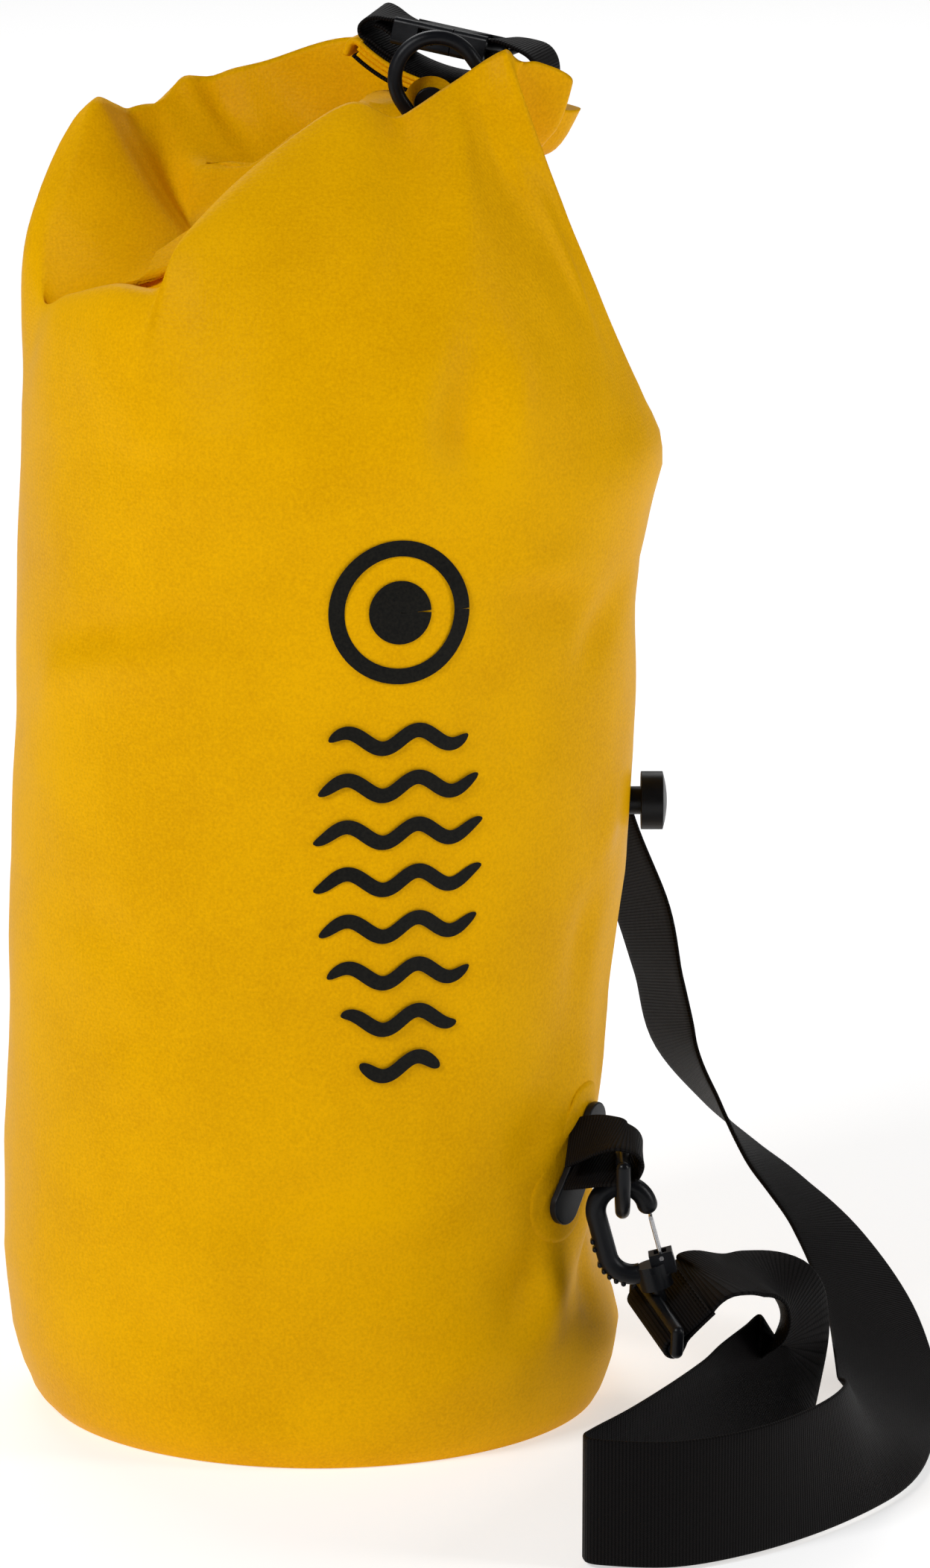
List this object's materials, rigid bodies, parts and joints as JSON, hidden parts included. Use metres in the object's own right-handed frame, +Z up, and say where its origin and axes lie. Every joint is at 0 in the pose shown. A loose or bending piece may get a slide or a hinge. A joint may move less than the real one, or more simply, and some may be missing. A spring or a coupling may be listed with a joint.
{
  "type": "roll-top dry bag",
  "caption": "Filled roll-top dry bag with a ring handle, buckle, push air valve, D-ring anchors and a wide webbing shoulder strap on swivel snap hooks.",
  "frame": {"origin": "centre of the flat base, on the ground", "axes": "+Z up along the tube, +X towards the air valve, -Y towards the front where the strap's loop lies"},
  "size_m": [0.3637, 0.359, 0.5455],
  "materials": {
    "coated_fabric": "yellow coated tarpaulin with a fine woven grain, satin",
    "seam_tape": "yellow welded tape, satin",
    "webbing": "black ribbed polyester webbing, matt",
    "thread": "black thread, matt",
    "moulded_plastic": "black moulded nylon, satin with a faint grain",
    "seal_rubber": "black rubber, matt",
    "wire": "stainless steel wire, bright"
  },
  "bodies": {
    "bag": {"tube_wall": "coated_fabric", "base_panel": "coated_fabric", "base_seam_tape": "seam_tape", "side_seam_tape": "seam_tape", "neck_fabric": "coated_fabric", "rolled_fabric": "coated_fabric", "stiffener_strip": "moulded_plastic", "closure_strip_inner": "webbing", "closure_strip_outer": "webbing", "buckle_socket": "moulded_plastic", "buckle_plug": "moulded_plastic", "web_tab_left": "webbing", "web_tab_right": "webbing", "valve_bush": "moulded_plastic", "valve_gasket": "seal_rubber", "valve_nut": "moulded_plastic", "top_patch": "coated_fabric", "top_plate": "moulded_plastic", "top_loop": "webbing", "rear_patch": "coated_fabric", "rear_plate": "moulded_plastic", "rear_loop": "webbing", "lower_patch": "coated_fabric", "lower_plate": "moulded_plastic", "lower_loop": "webbing", "rear_swivel": "moulded_plastic", "rear_strap_end": "webbing", "lower_swivel": "moulded_plastic", "lower_strap_end": "webbing", "shoulder_strap": "webbing", "strap_stitching": "thread"},
    "latch_front": {"latch_arm_front": "moulded_plastic"},
    "latch_rear": {"latch_arm_rear": "moulded_plastic"},
    "air_valve": {"valve_knob": "moulded_plastic", "valve_o_ring": "seal_rubber", "valve_retainer": "wire"},
    "top_ring": {"top_d_ring": "moulded_plastic"},
    "rear_ring": {"rear_d_ring": "moulded_plastic"},
    "lower_ring": {"lower_d_ring": "moulded_plastic"},
    "rear_snap": {"rear_hook": "moulded_plastic"},
    "rear_gate": {"rear_hook_gate": "wire"},
    "lower_snap": {"lower_hook": "moulded_plastic"},
    "lower_gate": {"lower_hook_gate": "wire"}
  },
  "joints": [
    {"name": "latch_front_flex", "type": "hinge", "parent": "bag", "child": "latch_front", "pos_m": [0.0514, 0.00529, 0.53377], "axis": [0.2022, 0.0572, 0.9777], "range_deg": [-14, 0], "stiffness_Nm_per_rad": 0.3},
    {"name": "latch_rear_flex", "type": "hinge", "parent": "bag", "child": "latch_rear", "pos_m": [0.05762, 0.02435, 0.53136], "axis": [0.2022, 0.0572, 0.9777], "range_deg": [0, 14], "stiffness_Nm_per_rad": 0.3},
    {"name": "valve_press", "type": "slide", "parent": "bag", "child": "air_valve", "axis": [1, 0, 0], "range_m": [-0.0045, 0]},
    {"name": "top_ring_swing", "type": "hinge", "parent": "bag", "child": "top_ring", "pos_m": [0.053, -0.016, 0.512], "axis": [0.8192, 0, 0.5736], "range_deg": [-8, 40]},
    {"name": "rear_ring_swing", "type": "hinge", "parent": "bag", "child": "rear_ring", "pos_m": [0.09623, 0.10319, 0.366], "axis": [-0.7314, 0.682, 0], "range_deg": [-5, 5]},
    {"name": "lower_ring_swing", "type": "hinge", "parent": "bag", "child": "lower_ring", "pos_m": [0.1174, -0.08, 0.115], "axis": [0, 1, 0], "range_deg": [-5, 5]},
    {"name": "rear_snap_swivel", "type": "hinge", "parent": "bag", "child": "rear_snap", "pos_m": [0.09991, 0.10714, 0.3122], "axis": [0, 0, 1], "range_deg": [-12, 12]},
    {"name": "rear_gate_press", "type": "hinge", "parent": "rear_snap", "child": "rear_gate", "pos_m": [0.10305, 0.11051, 0.3237], "axis": [0.7314, -0.682, 0], "range_deg": [0, 24], "stiffness_Nm_per_rad": 0.05},
    {"name": "lower_snap_swivel", "type": "hinge", "parent": "bag", "child": "lower_snap", "pos_m": [0.131, -0.08, 0.0636], "axis": [-0.2588, 0, 0.9659], "range_deg": [-12, 12]},
    {"name": "lower_gate_press", "type": "hinge", "parent": "lower_snap", "child": "lower_gate", "pos_m": [0.13247, -0.08, 0.0759], "axis": [0, -1, 0], "range_deg": [0, 24], "stiffness_Nm_per_rad": 0.05}
  ]
}
